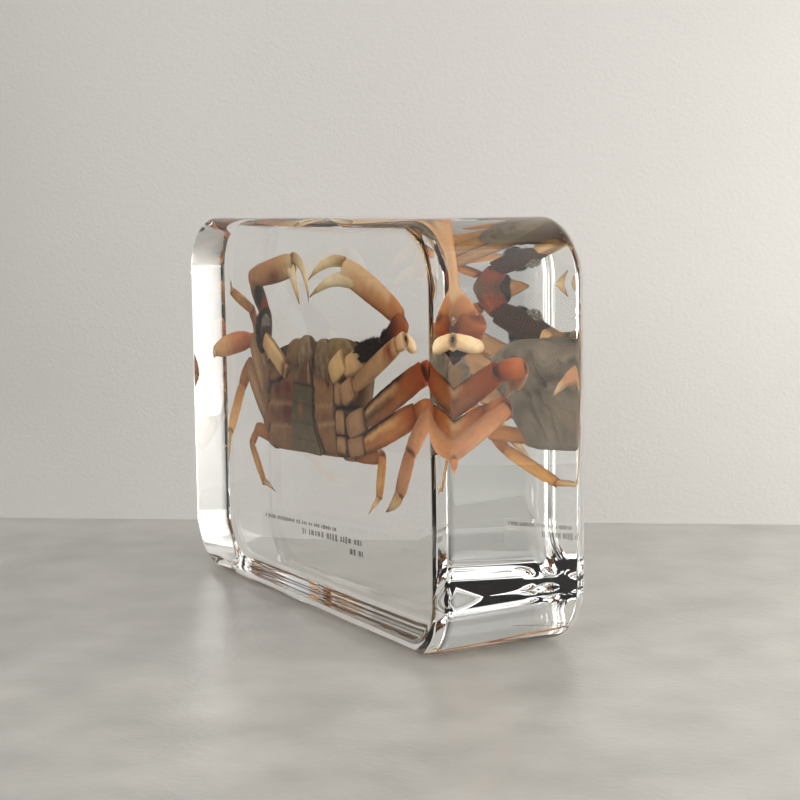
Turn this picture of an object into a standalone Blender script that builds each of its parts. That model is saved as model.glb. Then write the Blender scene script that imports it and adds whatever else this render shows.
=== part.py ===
"""A dried mudflat crab and its label slip, cast in a clear resin block.

The block stands on one narrow side. The origin is the middle of its base, +X runs along its
width, +Z is up, and -Y is the broad face that the crab's underside looks out of. The crab is
head up. Its own left is at +X.
"""
import math

import bmesh
import bpy
from mathutils import Matrix, Vector

MM = 0.001

# The block, as cast and polished
BLOCK_WIDTH = 90 * MM
BLOCK_DEPTH = 24 * MM
BLOCK_HEIGHT = 60 * MM
CORNER_RADIUS = 9.2 * MM
EDGE_RADIUS = 2.5 * MM
CORNER_STEPS = 5
EDGE_STEPS = 2
PARTING_Y = 0.6 * MM
PARTING_GAP = 0.3 * MM

# Room between the crab's nodes, and between the crab and the resin
JOINT_GAP = 0.3 * MM
JOINT_LAP = 0.35 * MM
POCKET_GAP = 0.5 * MM
STRAIGHT_BOW = 0.25 * MM

# The label slip, a printed film laid on the first pour
LABEL_WIDTH = 38 * MM
LABEL_HEIGHT = 4.6 * MM
LABEL_THICKNESS = 0.25 * MM
LABEL_CENTRE = Vector((-5.2, 1.0, 10.6)) * MM
LABEL_TILT = math.radians(-3)

# The crab's body: 37 mm across the carapace and 20 mm from mouth to tail
BODY_CENTRE_X = -2.8 * MM
BODY_TILT = math.radians(-2.8)
BODY_SIDES = 20
LIMB_SIDES = 8
POCKET_SIDES = 6

# Stations of the trunk from tail to mouth, in millimetres: height in the block, half width, and
# the depths of the belly's surface, of the flank where belly and back meet, and of the back
TRUNK = (
    (23.7, 12.6, -3.8, -1.2, 0.4),
    (24.7, 15.0, -4.9, -1.0, 1.2),
    (27.7, 16.9, -5.3, -0.4, 2.2),
    (31.8, 18.1, -5.5, 0.4, 3.8),
    (36.2, 18.6, -5.1, 1.4, 5.8),
    (39.1, 18.6, -3.6, 1.8, 6.2),
    (40.8, 16.7, -1.5, 1.8, 4.6),
)
FRONT_DROOP = 3.0 * MM
BELLY_POWER = 0.62
BACK_POWER = 0.85

# The tail flap folded flat on the belly: height, half width
TAIL_FLAP = ((23.9, 5.4), (25.4, 5.0), (29.3, 3.9), (33.7, 3.5), (36.8, 2.3), (38.5, 0.7))
TAIL_FLAP_Y = -5.45 * MM
TAIL_FLAP_THICKNESS = 1.5 * MM

# What stands out of the trunk's front, in millimetres: mouth plates and cheeks by centre and
# radii, eyestalks by their two ends and one thickness
LOBES = (
    ((-4.6, -2.9, 38.2), (4.6, 3.0, 3.6)),
    ((4.3, -2.9, 38.8), (4.9, 3.0, 3.8)),
    ((-9.4, -1.0, 36.5), (4.6, 3.2, 3.2)),
    ((9.9, -1.0, 38.4), (5.4, 3.2, 3.0)),
)
EYESTALKS = (
    ((2.0, 0.4, 41.1), (14.0, -0.6, 41.1)),
    ((-3.9, 0.6, 40.4), (-15.3, 0.6, 38.4)),
)
EYESTALK = 1.5

# How the thickness of each kind of limb segment runs along it: share of length, share of radius
PROFILES = {
    "coxa": ((0.0, 0.70), (0.3, 0.95), (0.75, 1.0), (1.0, 0.80)),
    "merus": ((0.0, 0.55), (0.14, 0.84), (0.5, 1.0), (0.85, 0.86), (1.0, 0.62)),
    "carpus": ((0.0, 0.55), (0.3, 0.86), (0.75, 1.0), (1.0, 0.72)),
    "propodus": ((0.0, 0.62), (0.2, 0.95), (0.6, 1.0), (1.0, 0.66)),
    "shank": ((0.0, 0.76), (0.3, 0.96), (0.7, 0.96), (1.0, 0.76)),
    "palm": ((0.0, 0.50), (0.1, 0.80), (0.4, 0.96), (0.8, 1.0), (1.0, 0.70)),
    "finger": ((0.0, 0.85), (0.3, 1.0), (0.65, 0.78), (0.92, 0.36), (1.0, 0.10)),
    "tip": ((0.0, 0.90), (0.35, 0.85), (0.75, 0.50), (1.0, 0.10)),
}

# Each limb is a chain of segments from the body outwards. A row holds the kind of segment, its
# two ends (x, y, z), its breadth, its thickness and how far its middle bows upwards, all in
# millimetres. Where the start is None the segment carries on from the last one's end.
LIMBS = {
    "left_claw": (
        ("coxa", (8.0, -5.0, 37.0), (11.9, -4.4, 39.0), 4.0, 3.6, 0.0),
        ("merus", None, (22.1, -1.3, 41.6), 4.0, 3.6, 0.2),
        ("carpus", None, (25.9, 0.9, 46.0), 4.4, 4.8, -0.3),
        ("palm", (26.0, 0.3, 45.8), (10.2, -2.8, 52.4), 4.4, 3.4, 0.4),
        ("finger", (11.2, -2.8, 51.6), (0.3, -4.8, 48.0), 2.4, 1.7, 0.8),
        ("finger", (11.0, -2.8, 53.4), (0.2, -5.2, 50.6), 2.0, 1.6, 1.3),
    ),
    "left_leg_1": (
        ("coxa", (11.0, -5.3, 33.6), (14.6, -5.1, 35.5), 3.0, 2.6, 0.0),
        ("merus", None, (28.0, -4.6, 42.3), 3.0, 2.2, 0.0),
        ("carpus", None, (30.2, -4.2, 43.4), 2.6, 2.4, 0.0),
        ("propodus", None, (29.0, 0.4, 42.2), 2.8, 2.2, 0.0),
    ),
    "left_leg_2": (
        ("coxa", (12.1, -4.1, 28.9), (17.1, -3.8, 31.1), 3.6, 3.0, 0.0),
        ("merus", None, (30.0, 2.6, 38.4), 4.0, 2.8, 0.0),
        ("carpus", None, (30.6, 6.4, 38.9), 3.8, 3.2, 0.0),
        ("propodus", None, (23.6, 7.9, 36.2), 2.8, 2.2, 0.0),
        ("tip", None, (18.0, 8.2, 33.6), 1.7, 1.4, 0.3),
    ),
    "left_leg_3": (
        ("coxa", (11.2, -3.6, 25.9), (16.1, -3.0, 27.1), 2.8, 2.6, 0.0),
        ("merus", None, (28.4, 1.8, 32.5), 3.9, 2.6, 0.0),
        ("carpus", None, (31.6, 3.4, 33.4), 3.4, 3.0, 0.0),
        ("shank", None, (32.2, -5.4, 27.6), 3.2, 2.8, 0.0),
        ("shank", None, (30.0, -6.8, 21.8), 3.0, 2.4, 0.0),
        ("tip", None, (26.4, -7.4, 18.8), 2.4, 1.9, -0.3),
    ),
    "left_leg_4": (
        ("coxa", (8.4, -0.9, 24.6), (12.2, -1.0, 24.8), 1.8, 1.8, 0.0),
        ("merus", None, (20.2, -1.9, 25.5), 2.0, 1.9, 0.0),
        ("carpus", None, (23.3, -4.6, 26.0), 1.9, 1.8, 0.2),
        ("propodus", None, (23.5, -6.6, 20.3), 2.3, 1.6, 0.0),
        ("tip", None, (21.4, -8.1, 17.8), 1.2, 1.0, 0.0),
    ),
    "right_claw": (
        ("coxa", (-8.6, -5.1, 35.9), (-18.0, -3.2, 39.4), 3.0, 3.0, 0.0),
        ("merus", None, (-21.5, 2.1, 44.1), 4.4, 4.0, 0.0),
        ("carpus", None, (-26.9, 2.8, 49.1), 3.6, 3.6, 0.0),
        ("palm", (-28.5, 2.8, 49.7), (-9.4, 0.0, 52.6), 4.2, 3.2, 0.0),
        ("finger", (-10.4, 0.1, 52.3), (-6.2, -1.9, 46.8), 2.6, 1.6, 0.3),
        ("finger", (-10.0, 0.0, 53.8), (-2.9, -1.9, 47.2), 1.9, 1.6, 1.8),
    ),
    "right_leg_1": (
        ("coxa", (-15.6, -3.6, 34.1), (-18.7, -1.9, 35.3), 2.8, 2.6, 0.0),
        ("merus", None, (-29.4, 6.3, 42.0), 2.7, 2.2, 0.0),
        ("carpus", None, (-28.3, 2.8, 44.7), 2.2, 2.0, 0.0),
        ("propodus", None, (-30.5, -4.8, 47.7), 2.0, 1.8, 0.0),
        ("tip", None, (-28.7, -7.6, 49.5), 0.9, 0.9, 0.0),
    ),
    "right_leg_2": (
        ("coxa", (-16.0, -3.4, 30.2), (-19.5, -1.7, 31.4), 3.4, 3.0, 0.0),
        ("merus", None, (-31.7, 7.8, 39.4), 3.8, 2.8, 0.0),
        ("shank", None, (-35.3, 3.1, 38.8), 3.0, 2.6, 0.0),
        ("propodus", None, (-38.6, -4.8, 37.2), 3.0, 2.4, 0.0),
        ("tip", None, (-35.9, -8.7, 36.4), 1.5, 1.5, 0.0),
    ),
    "right_leg_3": (
        ("coxa", (-16.2, -3.2, 26.4), (-19.5, -1.5, 27.6), 3.0, 2.8, 0.0),
        ("merus", None, (-32.9, 6.8, 35.1), 3.6, 2.6, 0.0),
        ("carpus", None, (-35.1, 5.7, 31.4), 2.8, 2.6, 0.0),
        ("propodus", None, (-33.5, -3.4, 24.0), 3.0, 2.2, 0.0),
        ("tip", None, (-32.4, -6.5, 18.9), 1.3, 1.2, 0.0),
    ),
    "right_leg_4": (
        ("coxa", (-14.8, -2.3, 24.0), (-18.3, -1.1, 24.4), 2.4, 2.2, 0.0),
        ("merus", None, (-26.1, 1.7, 24.9), 2.4, 2.2, 0.3),
        ("carpus", None, (-27.0, -0.4, 22.4), 1.8, 1.7, 0.0),
        ("propodus", None, (-18.8, -4.8, 17.2), 2.0, 1.6, 0.0),
        ("tip", None, (-12.6, -7.4, 16.5), 1.1, 1.0, 0.2),
    ),
}


def principled(name, colour, roughness, transmission=0.0, ior=1.5):
    """One plain material with the piece's colour from the real thing."""
    material = bpy.data.materials.new(name)
    material.use_nodes = True
    shader = material.node_tree.nodes["Principled BSDF"]
    shader.inputs["Base Color"].default_value = (*colour, 1.0)
    shader.inputs["Roughness"].default_value = roughness
    shader.inputs["Metallic"].default_value = 0.0
    shader.inputs["Transmission Weight"].default_value = transmission
    shader.inputs["IOR"].default_value = ior
    return material


def new_object(name, mesh, material=None):
    thing = bpy.data.objects.new(name, mesh)
    bpy.context.scene.collection.objects.link(thing)
    if material:
        mesh.materials.append(material)
    return thing


def finish_mesh(bm, name):
    """Turn the bmesh into a mesh with its faces pointing out."""
    bmesh.ops.recalc_face_normals(bm, faces=bm.faces)
    mesh = bpy.data.meshes.new(name)
    bm.to_mesh(mesh)
    bm.free()
    return mesh


def skin(bm, sides, stations, place):
    """Draw one closed skin through rings, each an extrusion of the last one's end face."""
    made = bmesh.ops.create_circle(bm, cap_ends=True, segments=sides, radius=1.0)
    face = made["verts"][0].link_faces[0]
    unit = [vert.co.copy() for vert in face.verts]
    for number, station in enumerate(stations):
        if number:
            made = bmesh.ops.extrude_face_region(bm, geom=[face])
            if number > 1:
                bmesh.ops.delete(bm, geom=[face], context="FACES_ONLY")
            face = next(item for item in made["geom"] if isinstance(item, bmesh.types.BMFace))
        for vert, co in zip(face.verts, unit):
            vert.co = place(co, station)


def plain(profile):
    """The same profile with three stations only, wide enough to hold every station of it."""
    widest = max(profile, key=lambda station: station[1])
    first = max(profile[0][1], profile[1][1])
    last = max(profile[-1][1], profile[-2][1])
    if widest in (profile[0], profile[-1]):
        return ((0.0, first), (1.0, last))
    return ((0.0, first), widest, (1.0, last))


def segment(bm, kind, start, end, breadth, thickness, bow, sides, grow):
    """Skin one limb segment between two joints, broad across the view and thin along Y."""
    axis = (end - start).normalized()
    through = Vector((0, 1, 0)) - axis * axis.y
    if through.length < 0.25:
        through = Vector((0, 0, 1)) - axis * axis.z
    through.normalize()
    across = axis.cross(through)
    if across.z < 0:
        across.negate()
    length = (end - start).length

    def place(co, station):
        share, scale = station
        along = share * length + (grow + JOINT_LAP) * (2 * share - 1)
        rise = bow * 4 * share * (1 - share)
        centre = start + axis * along + across * rise
        wide = breadth / 2 * scale + grow
        deep = thickness / 2 * scale + grow
        return centre + across * co.x * wide + through * co.y * deep

    straight = abs(bow) < STRAIGHT_BOW
    profile = PROFILES[kind]
    skin(bm, sides, plain(profile) if straight and sides == POCKET_SIDES else profile, place)


def limb_segments(name):
    """Give a limb's segments with both ends as vectors in metres."""
    last = None
    for kind, start, end, breadth, thickness, bow in LIMBS[name]:
        begin = last if start is None else Vector(start) * MM
        last = Vector(end) * MM
        yield kind, begin, last, breadth * MM, thickness * MM, bow * MM


def limb_shells(name, sides, grow=0.0, count=None):
    """Make each segment of a limb a closed shell of its own, overlapping at the joints."""
    meshes = []
    for row in list(limb_segments(name))[:count]:
        bm = bmesh.new()
        segment(bm, *row, sides, grow / math.cos(math.pi / sides))
        meshes.append(finish_mesh(bm, name))
    return meshes


def joined(meshes, name):
    """Put several closed shells in one mesh, still separate from each other."""
    bm = bmesh.new()
    for mesh in meshes:
        bm.from_mesh(mesh)
    return finish_mesh_as_is(bm, name)


def finish_mesh_as_is(bm, name):
    mesh = bpy.data.meshes.new(name)
    bm.to_mesh(mesh)
    bm.free()
    return mesh


def cut_or_fuse(base, tool, operation, name):
    """Join or cut two solids, and give the result as one clean mesh."""
    work = new_object("work", base)
    other = new_object("tool", tool)
    boolean = work.modifiers.new("boolean", "BOOLEAN")
    boolean.operation = operation
    boolean.solver = "EXACT"
    boolean.use_self = True
    boolean.object = other
    bpy.context.view_layer.update()
    graph = bpy.context.evaluated_depsgraph_get()
    result = bpy.data.meshes.new_from_object(work.evaluated_get(graph))
    bpy.data.objects.remove(work)
    bpy.data.objects.remove(other)
    bm = bmesh.new()
    bm.from_mesh(result)
    bmesh.ops.remove_doubles(bm, verts=bm.verts, dist=0.00001)
    bmesh.ops.dissolve_degenerate(bm, edges=bm.edges, dist=0.000005)
    bmesh.ops.triangulate(bm, faces=bm.faces)
    bm.to_mesh(result)
    bm.free()
    result.name = name
    return result


def fused(meshes, name):
    """Fuse overlapping shells in one solid."""
    return cut_or_fuse(meshes[0], joined(meshes[1:], name), "UNION", name)


def shade_round(thing, angle=40):
    thing.data.shade_smooth()
    thing.data.set_sharp_from_angle(angle=math.radians(angle))


def block_mesh():
    """The whole block: a slab with round corners and a soft edge round both broad faces."""
    bm = bmesh.new()
    bmesh.ops.create_cube(bm, size=1.0)
    bmesh.ops.scale(bm, vec=(BLOCK_WIDTH, BLOCK_DEPTH, BLOCK_HEIGHT), verts=bm.verts)
    bmesh.ops.translate(bm, vec=(0, 0, BLOCK_HEIGHT / 2), verts=bm.verts)
    corners = [edge for edge in bm.edges if abs(edge.verts[0].co.y - edge.verts[1].co.y) > MM]
    bmesh.ops.bevel(bm, geom=corners, offset=CORNER_RADIUS, segments=CORNER_STEPS,
                    profile=0.5, affect="EDGES", material=-1)
    rims = [edge for edge in bm.edges if abs(edge.verts[0].co.y - edge.verts[1].co.y) < MM]
    bmesh.ops.bevel(bm, geom=rims, offset=EDGE_RADIUS, segments=EDGE_STEPS,
                    profile=0.5, affect="EDGES", material=-1)
    return finish_mesh(bm, "block")


def box_mesh(size, centre, name, tilt=0.0):
    bm = bmesh.new()
    bmesh.ops.create_cube(bm, size=1.0)
    bmesh.ops.scale(bm, vec=size, verts=bm.verts)
    bmesh.ops.rotate(bm, cent=(0, 0, 0), matrix=Matrix.Rotation(tilt, 3, "Y"), verts=bm.verts)
    bmesh.ops.translate(bm, vec=centre, verts=bm.verts)
    return finish_mesh(bm, name)


def trunk_mesh(sides, grow=0.0):
    """The trunk, skinned from tail to mouth: a domed back, a flatter belly, blunt flanks."""
    bm = bmesh.new()

    def place(co, station):
        height, half_width, belly, flank, back = station
        side = math.copysign(abs(co.x) ** 0.8, co.x)
        x = BODY_CENTRE_X + side * (half_width * MM + grow)
        if co.y < 0:
            y = flank * MM - abs(co.y) ** BELLY_POWER * ((flank - belly) * MM + grow)
        else:
            y = flank * MM + co.y ** BACK_POWER * ((back - flank) * MM + grow)
        rise = (height - TRUNK[0][0]) / (TRUNK[-1][0] - TRUNK[0][0])
        return Vector((x, y, height * MM - FRONT_DROOP * rise * co.x ** 2))

    stations = list(TRUNK)
    if grow:
        low, high = stations[0], stations[-1]
        stations[0] = (low[0] - grow / MM, *low[1:])
        stations[-1] = (high[0] + grow / MM, *high[1:])
    skin(bm, sides, stations, place)
    tilt_body(bm)
    return finish_mesh(bm, "trunk")


def tilt_body(bm):
    """Lean the body a little, so that its left side is higher."""
    centre = Vector((BODY_CENTRE_X, 0, 32 * MM))
    bmesh.ops.rotate(bm, cent=centre, matrix=Matrix.Rotation(BODY_TILT, 3, "Y"), verts=bm.verts)


def tail_flap_mesh(grow=0.0):
    bm = bmesh.new()

    def place(co, station):
        height, half_width = station
        x = BODY_CENTRE_X + 1.0 * MM + co.x * (half_width * MM + grow)
        return Vector((x, TAIL_FLAP_Y + co.y * (TAIL_FLAP_THICKNESS / 2 + grow), height * MM))

    skin(bm, 8, TAIL_FLAP, place)
    tilt_body(bm)
    return finish_mesh(bm, "tail flap")


def lobe_mesh(centre, radii, name, grow=0.0, rings=6):
    """One rounded lobe, such as a mouth plate."""
    bm = bmesh.new()
    bmesh.ops.create_uvsphere(bm, u_segments=rings + 4, v_segments=rings, radius=1.0)
    size = Vector(radii) * MM + Vector((grow, grow, grow))
    bmesh.ops.scale(bm, vec=size, verts=bm.verts)
    bmesh.ops.translate(bm, vec=Vector(centre) * MM, verts=bm.verts)
    return finish_mesh(bm, name)


def rod_mesh(start, end, breadth, name, grow=0.0):
    bm = bmesh.new()
    ends = Vector(start) * MM, Vector(end) * MM
    segment(bm, "coxa", *ends, breadth * MM, breadth * MM, 0.0, LIMB_SIDES, grow)
    return finish_mesh(bm, name)


def front_shells(grow=0.0, rings=6):
    """The lobes and rods that stand out of the trunk's front: mouth plates, cheeks, eyestalks."""
    shells = [lobe_mesh(centre, radii, "lobe", grow, rings) for centre, radii in LOBES]
    return shells + [rod_mesh(start, end, EYESTALK, "eyestalk", grow) for start, end in EYESTALKS]


def body_mesh():
    """Trunk, tail flap, mouth plates, eyestalks and front corners, fused in one shell."""
    shells = [trunk_mesh(BODY_SIDES), tail_flap_mesh()] + front_shells()
    whole = fused(shells, "crab_body")
    roots = []
    for name in LIMBS:
        roots += limb_shells(name, LIMB_SIDES, JOINT_GAP, 2)
    return cut_or_fuse(whole, joined(roots, "roots"), "DIFFERENCE", "crab_body")


def hull(meshes, name):
    """One convex solid round several shells."""
    bm = bmesh.new()
    for mesh in meshes:
        bm.from_mesh(mesh)
    bmesh.ops.delete(bm, geom=bm.edges[:], context="EDGES_FACES")
    made = bmesh.ops.convex_hull(bm, input=bm.verts)
    inside = made["geom_interior"] + made["geom_unused"]
    spare = [item for item in inside if isinstance(item, bmesh.types.BMVert)]
    bmesh.ops.delete(bm, geom=list(set(spare)), context="VERTS")
    return finish_mesh(bm, name)


def pocket_mesh():
    """The room for the crab in the resin: its own shapes, plainer and a little larger."""
    shells = [trunk_mesh(BODY_SIDES, POCKET_GAP), tail_flap_mesh(POCKET_GAP)]
    shells = [hull(shells + front_shells(POCKET_GAP, 6), "body pocket")]
    for name in LIMBS:
        shells += limb_shells(name, POCKET_SIDES, POCKET_GAP)
    return joined(shells, "pocket")


def recess_mesh():
    """The label's recess, open at the parting plane."""
    room = LABEL_THICKNESS / 2 + JOINT_GAP
    depth = LABEL_CENTRE.y + room - PARTING_Y
    size = (LABEL_WIDTH + 2 * JOINT_GAP, depth, LABEL_HEIGHT + 2 * JOINT_GAP)
    centre = (LABEL_CENTRE.x, PARTING_Y + depth / 2, LABEL_CENTRE.z)
    return box_mesh(size, centre, "recess", LABEL_TILT)


def resin_half(name, side, material):
    """One half of the block, on one side of the parting plane, with its half of the pocket."""
    depth = BLOCK_DEPTH
    centre_y = PARTING_Y + side * (PARTING_GAP / 2 + depth / 2)
    keep = box_mesh((BLOCK_WIDTH * 2, depth, BLOCK_HEIGHT * 2), (0, centre_y, 0), "keep")
    half = cut_or_fuse(block_mesh(), keep, "INTERSECT", name)
    half = cut_or_fuse(half, pocket_mesh(), "DIFFERENCE", name)
    if side > 0:
        half = cut_or_fuse(half, recess_mesh(), "DIFFERENCE", name)
    return new_object(name, half, material)


def build():
    for thing in list(bpy.data.objects):
        bpy.data.objects.remove(thing)
    resin = principled("clear cast resin", (0.97, 0.98, 0.97), 0.03, 1.0, 1.49)
    shell = principled("dried crab shell", (0.20, 0.13, 0.07), 0.45)
    film = principled("clear label film", (0.80, 0.80, 0.78), 0.35)
    crab = bpy.data.objects.new("crab", None)
    bpy.context.scene.collection.objects.link(crab)
    body = new_object("crab_body", body_mesh(), shell)
    shade_round(body)
    body.parent = crab
    for name in LIMBS:
        limb = new_object(name, fused(limb_shells(name, LIMB_SIDES), name), shell)
        shade_round(limb)
        limb.parent = crab
    resin_half("resin_front", -1, resin)
    resin_half("resin_back", 1, resin)
    slip = (LABEL_WIDTH, LABEL_THICKNESS, LABEL_HEIGHT)
    new_object("label_slip", box_mesh(slip, LABEL_CENTRE, "label_slip", LABEL_TILT), film)


build()
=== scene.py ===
"""A mudflat crab cast in a clear resin block, standing on a pale stone-grey surface."""
import math
import random

import bmesh
import bpy
from mathutils import Matrix, Vector, noise


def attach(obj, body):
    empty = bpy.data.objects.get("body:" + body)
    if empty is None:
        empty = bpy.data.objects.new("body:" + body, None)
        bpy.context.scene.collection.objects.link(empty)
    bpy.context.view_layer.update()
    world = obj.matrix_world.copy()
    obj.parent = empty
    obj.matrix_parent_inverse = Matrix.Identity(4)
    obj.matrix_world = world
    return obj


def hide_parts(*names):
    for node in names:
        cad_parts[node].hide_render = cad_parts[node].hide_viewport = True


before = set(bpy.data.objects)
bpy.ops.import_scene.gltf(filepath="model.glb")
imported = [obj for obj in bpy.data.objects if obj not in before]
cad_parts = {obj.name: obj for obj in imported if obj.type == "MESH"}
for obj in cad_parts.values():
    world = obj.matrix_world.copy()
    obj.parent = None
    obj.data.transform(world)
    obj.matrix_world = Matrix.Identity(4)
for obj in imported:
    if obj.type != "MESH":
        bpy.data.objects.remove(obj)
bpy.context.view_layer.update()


# The block. Clear polyester casting resin, poured round the crab in two layers, cut to shape and
# polished all over. Its only marks are the soft edges, so all that is seen of it is refraction,
# gloss and the crab mirrored in its faces.
MM = 0.001
BLOCK_SIZE = Vector((90, 24, 60)) * MM
BLOCK_CORNER = 9.2 * MM
BLOCK_EDGE = 2.5 * MM
BLOCK_CORNER_STEPS = 28
BLOCK_EDGE_STEPS = 14
RESIN_IOR = 1.49
RESIN_TINT = "#E9EFEA"
RESIN_DENSITY = 2.5
SHARP_ANGLE = math.radians(30)


def linear(colour):
    """Turn an sRGB hex value into linear red, green, blue and alpha."""
    parts = [int(colour[place:place + 2], 16) / 255 for place in (1, 3, 5)]
    return [part / 12.92 if part <= 0.04045 else ((part + 0.055) / 1.055) ** 2.4
            for part in parts] + [1.0]


def add_node(tree, kind, settings=(), **links):
    """Add one node. Settings set its fields and sockets, links join other nodes' outputs to it."""
    node = tree.nodes.new(kind)
    for name, value in dict(settings).items():
        if hasattr(node, name):
            setattr(node, name, value)
        else:
            node.inputs[name].default_value = value
    for name, source in links.items():
        tree.links.new(source, node.inputs[name.replace("_", " ")])
    return node


def new_material(name):
    """Give a new material, its node tree and its Principled shader."""
    material = bpy.data.materials.new(name)
    material.use_nodes = True
    tree = material.node_tree
    return material, tree, tree.nodes["Principled BSDF"]


def new_piece(name, bm, material):
    """Turn a bmesh into a smooth piece of the object that rides on its one body."""
    mesh = bpy.data.meshes.new(name)
    bm.to_mesh(mesh)
    bm.free()
    mesh.materials.append(material)
    mesh.shade_smooth()
    piece = bpy.data.objects.new(name, mesh)
    bpy.context.scene.collection.objects.link(piece)
    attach(piece, "root")
    return piece


def resin_material():
    """Cast polyester resin, polished: water clear, with the least grey-green in its depth."""
    material, tree, shader = new_material("cast polyester resin, polished")
    shader.inputs["Base Color"].default_value = (1, 1, 1, 1)
    shader.inputs["Roughness"].default_value = 0.0
    shader.inputs["IOR"].default_value = RESIN_IOR
    shader.inputs["Transmission Weight"].default_value = 1.0
    absorption = add_node(tree, "ShaderNodeVolumeAbsorption",
                          {"Color": linear(RESIN_TINT), "Density": RESIN_DENSITY})
    tree.links.new(absorption.outputs["Volume"], tree.nodes["Material Output"].inputs["Volume"])
    return material


bm = bmesh.new()
bmesh.ops.create_cube(bm, size=1.0)
bmesh.ops.scale(bm, vec=BLOCK_SIZE, verts=bm.verts)
bmesh.ops.translate(bm, vec=(0, 0, BLOCK_SIZE.z / 2), verts=bm.verts)
depth_edges = [edge for edge in bm.edges if abs(edge.verts[0].co.y - edge.verts[1].co.y) > MM]
bmesh.ops.bevel(bm, geom=depth_edges, offset=BLOCK_CORNER, segments=BLOCK_CORNER_STEPS,
                profile=0.5, affect="EDGES", material=-1)
rims = [edge for edge in bm.edges if abs(edge.verts[0].co.y - edge.verts[1].co.y) < MM]
bmesh.ops.bevel(bm, geom=rims, offset=BLOCK_EDGE, segments=BLOCK_EDGE_STEPS,
                profile=0.5, affect="EDGES", material=-1)
bmesh.ops.recalc_face_normals(bm, faces=bm.faces)
block = new_piece("resin_block", bm, resin_material())
block.data.set_sharp_from_angle(angle=SHARP_ANGLE)
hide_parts("resin_front", "resin_back")


# The crab's body. Dried crab shell, once greenish and now grey-brown, seen from below: the chest
# plates on both sides of the folded tail flap, the mouth plates and cheeks above them, and the
# eyestalks folded along the front edge. The domed back is turned away.
BODY_CENTRE = Vector((-2.8, 0, 32)) * MM
BODY_LEAN = Matrix.Rotation(math.radians(-2.8), 3, "Y")
BODY_SIDES = 240
BODY_RINGS = 110
# Height in the block, half width, and depths of belly, flank and back, tail to mouth, in mm
TRUNK = (
    (23.7, 12.6, -3.8, -1.2, 0.4), (24.7, 15.0, -4.9, -1.0, 1.2), (27.7, 16.9, -5.3, -0.4, 2.2),
    (31.8, 18.1, -5.5, 0.4, 3.8), (36.2, 18.6, -5.1, 1.4, 5.8), (39.1, 18.6, -3.6, 1.8, 6.2),
    (40.8, 16.7, -1.5, 1.8, 4.6),
)
FRONT_DROOP = 3.0 * MM
FLANK_POWER = 0.8
BELLY_POWER = 0.62
BACK_POWER = 0.85
# How high the belly swells and the back is grained, and how closely, per mm
BELLY_SWELL = 0.25 * MM
BELLY_SWELL_SCALE = 0.45
BACK_GRAIN = 0.12 * MM
BACK_GRAIN_SCALE = 1.6
# Relief and paint fade out towards the flanks, this many times faster than the body turns there
FLANK_FADE = 3
# Seams between the chest plates: two ends (x, z), how deep and how wide, in mm
SEAMS = (
    ((-16.5, 30.5), (-7.4, 31.0), 0.22, 0.32), ((-18.2, 26.5), (-7.2, 27.5), 0.24, 0.35),
    ((-15.4, 33.6), (-12.1, 34.3), 0.40, 0.50), ((-15.6, 33.6), (-16.6, 31.0), 0.35, 0.50),
    ((-12.3, 34.2), (-7.2, 36.7), 0.70, 0.45), ((-7.2, 36.7), (-5.2, 38.4), 0.50, 0.40),
    ((-5.9, 34.6), (-7.0, 24.2), 0.35, 0.40), ((-0.4, 37.6), (1.0, 33.8), 0.75, 0.42),
    ((1.0, 33.8), (0.9, 30.7), 0.85, 0.45), ((0.9, 30.7), (1.6, 28.1), 0.85, 0.45),
    ((1.6, 28.1), (3.7, 24.6), 0.80, 0.42), ((1.3, 31.6), (8.3, 32.1), 0.16, 0.30),
    ((1.2, 28.4), (8.6, 29.6), 0.14, 0.30), ((8.4, 36.6), (8.2, 31.8), 0.70, 0.50),
    ((8.2, 31.8), (8.7, 24.6), 0.60, 0.45), ((8.2, 31.9), (14.0, 32.2), 0.60, 0.50),
    ((8.4, 27.6), (14.0, 27.9), 0.50, 0.45), ((4.4, 38.2), (4.7, 36.5), 0.80, 0.50),
    ((4.7, 36.5), (5.8, 34.9), 0.60, 0.42),
)
# A seam shallower than this, in mm, shows with a painted highlight along its lip, and a deeper one
# as a dark line
FAINT_SEAM = 0.3
# The bank beside each seam: its height, and how far off it runs and how wide it is, in mm
BANK_HEIGHT = 0.16 * MM
BANK_PLACE = 1.1
BANK_WIDTH = 0.7
# Grooves in the back, mirrored on both sides of its middle, in mm from it
BACK_SEAMS = (
    ((2.2, 25.5), (3.0, 30.0), 0.30, 0.60), ((3.0, 30.0), (1.9, 32.4), 0.30, 0.60),
    ((1.9, 32.4), (6.0, 34.6), 0.40, 0.70), ((6.0, 34.6), (14.5, 35.6), 0.30, 0.70),
    ((5.2, 38.6), (6.0, 34.6), 0.30, 0.60),
)
# The back's grey is a painted silvery sheen
BACK_SHEEN_GREY = "#7A7568"
BACK_OLIVE = "#45402F"
SHELL_BACK_EDGE = "#8A6D4A"
CHEST_RED = "#601E0A"
CHEST_BROWN = "#794A26"
CHEST_PALE = "#966D46"
CHEST_SHADE = "#371D0D"
SEAM_DARK = "#2A0F06"
# The pale along a faint seam's lip, and along the tail flap's raised edge, is a painted highlight
SEAM_HIGHLIGHT = "#B5966D"
# Soft-edged patches on the chest: middle across and up, half width and half height, in mm, and
# strength. The first ones are red, and the last is the shade on the far flank.
RED_PATCHES = (
    (-8.6, 29.6, 2.2, 2.2, 0.95), (-8.4, 33.2, 2.4, 1.9, 0.75), (-12.4, 32.8, 2.0, 1.5, 0.8),
    (-13.0, 28.8, 3.5, 1.3, 0.45), (4.0, 29.9, 2.4, 1.0, 0.25),
)
FLANK_SHADE = (-16.5, 32.4, 1.6, 2.0, 0.8)
# Beyond these, in mm, the chest lies in the shade of the left legs' plates and of the mouth
BEHIND_PLATES_X = 8.6
BEHIND_MOUTH_Z = 34.8
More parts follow.
